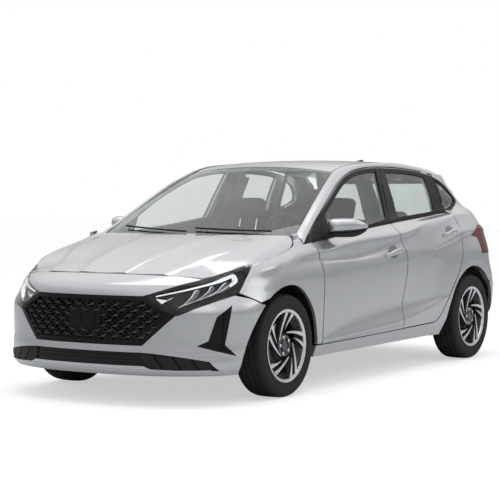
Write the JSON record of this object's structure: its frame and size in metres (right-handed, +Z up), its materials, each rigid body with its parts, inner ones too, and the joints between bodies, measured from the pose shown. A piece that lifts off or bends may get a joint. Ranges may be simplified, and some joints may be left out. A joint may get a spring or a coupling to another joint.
{
  "type": "hatchback car",
  "caption": "Small passenger car with side doors, an opening bonnet and tailgate, steered front wheels and a hollow cabin with seats, dashboard and steering wheel.",
  "frame": {"origin": "on the ground at the centre of the bounding box", "axes": "+X forward, +Y to the car's left, +Z up"},
  "size_m": [4.0639, 2.0358, 1.4681],
  "materials": {
    "paint": "silver metallic, glossy",
    "glass": "dark tint",
    "trim": "black, grained",
    "gloss_black": "black, polished",
    "lamp_clear": "clear lens over dark reflectors",
    "lamp_red": "red lens",
    "alloy": "machined and painted",
    "tyre": "matt",
    "steel": "dark coated",
    "cabin": "soft touch",
    "floor": "underbody coating",
    "seat_cloth": "woven",
    "engine": "plain"
  },
  "bodies": {
    "body": {"quarter_windows": "glass", "body_sides": "paint", "roof_panel": "paint", "windscreen": "glass", "headlamps": "lamp_clear", "front_bumper": "paint", "front_grilles": "gloss_black", "front_fenders": "paint", "rear_bumper": "paint", "tail_lamps": "lamp_red", "floor_pan": "floor", "front_frame": "steel", "engine_block": "engine", "front_subframe": "steel", "rear_axle": "steel", "arch_liners": "trim", "dashboard": "cabin", "front_seats": "seat_cloth", "rear_seat": "seat_cloth", "roof_aerial": "gloss_black", "exhaust": "steel"},
    "front_left_door": {"door_front_left": "paint", "window_front_left": "glass", "mirror_left": "paint"},
    "front_right_door": {"door_front_right": "paint", "window_front_right": "glass", "mirror_right": "paint"},
    "rear_left_door": {"door_rear_left": "paint", "window_rear_left": "glass"},
    "rear_right_door": {"door_rear_right": "paint", "window_rear_right": "glass"},
    "bonnet_lid": {"bonnet": "paint"},
    "tailgate_lid": {"tailgate": "paint", "tailgate_window": "glass", "tailgate_lamps": "lamp_red"},
    "steering": {"steering_wheel": "cabin"},
    "left_knuckle": {"knuckle_left": "steel"},
    "right_knuckle": {"knuckle_right": "steel"},
    "front_left_wheel": {"tyre_front_left": "tyre", "rim_front_left": "alloy"},
    "front_right_wheel": {"tyre_front_right": "tyre", "rim_front_right": "alloy"},
    "rear_left_wheel": {"tyre_rear_left": "tyre", "rim_rear_left": "alloy"},
    "rear_right_wheel": {"tyre_rear_right": "tyre", "rim_rear_right": "alloy"}
  },
  "joints": [
    {"name": "front_left_door_hinge", "type": "hinge", "parent": "body", "child": "front_left_door", "pos_m": [0.707, 0.862, 0.6], "axis": [0, 0, -1], "range_deg": [0, 68]},
    {"name": "front_right_door_hinge", "type": "hinge", "parent": "body", "child": "front_right_door", "pos_m": [0.707, -0.862, 0.6], "axis": [0, 0, 1], "range_deg": [0, 68]},
    {"name": "rear_left_door_hinge", "type": "hinge", "parent": "body", "child": "rear_left_door", "pos_m": [-0.404, 0.858, 0.6], "axis": [0, 0, -1], "range_deg": [0, 68]},
    {"name": "rear_right_door_hinge", "type": "hinge", "parent": "body", "child": "rear_right_door", "pos_m": [-0.404, -0.858, 0.6], "axis": [0, 0, 1], "range_deg": [0, 68]},
    {"name": "bonnet_hinge", "type": "hinge", "parent": "body", "child": "bonnet_lid", "pos_m": [1.015, 0, 0.93721], "axis": [0, -1, 0], "range_deg": [0, 55]},
    {"name": "tailgate_hinge", "type": "hinge", "parent": "body", "child": "tailgate_lid", "pos_m": [-1.27, 0, 1.39], "axis": [0, 1, 0], "range_deg": [0, 75]},
    {"name": "left_steer", "type": "hinge", "parent": "body", "child": "left_knuckle", "pos_m": [1.1775, 0.725, 0.225], "axis": [0, -0.2448, 0.9696], "range_deg": [-35, 35]},
    {"name": "right_steer", "type": "hinge", "parent": "body", "child": "right_knuckle", "pos_m": [1.1775, -0.725, 0.225], "axis": [0, 0.2448, 0.9696], "range_deg": [-35, 35]},
    {"name": "steering_wheel_turn", "type": "hinge", "parent": "body", "child": "steering", "pos_m": [0.33, 0.365, 0.905], "axis": [-0.9135, 0, 0.4067], "range_deg": [-500, 500]},
    {"name": "front_left_wheel_spin", "type": "hinge", "parent": "left_knuckle", "child": "front_left_wheel", "pos_m": [1.1775, 0.7695, 0.3105], "axis": [0, 1, 0], "continuous": true},
    {"name": "front_right_wheel_spin", "type": "hinge", "parent": "right_knuckle", "child": "front_right_wheel", "pos_m": [1.1775, -0.7695, 0.3105], "axis": [0, 1, 0], "continuous": true},
    {"name": "rear_left_wheel_spin", "type": "hinge", "parent": "body", "child": "rear_left_wheel", "pos_m": [-1.4025, 0.7715, 0.3105], "axis": [0, 1, 0], "continuous": true},
    {"name": "rear_right_wheel_spin", "type": "hinge", "parent": "body", "child": "rear_right_wheel", "pos_m": [-1.4025, -0.7715, 0.3105], "axis": [0, 1, 0], "continuous": true}
  ],
  "couplings": [
    {"joint": "right_steer", "follows": "left_steer", "ratio": 1},
    {"joint": "steering_wheel_turn", "follows": "left_steer", "ratio": 14}
  ]
}
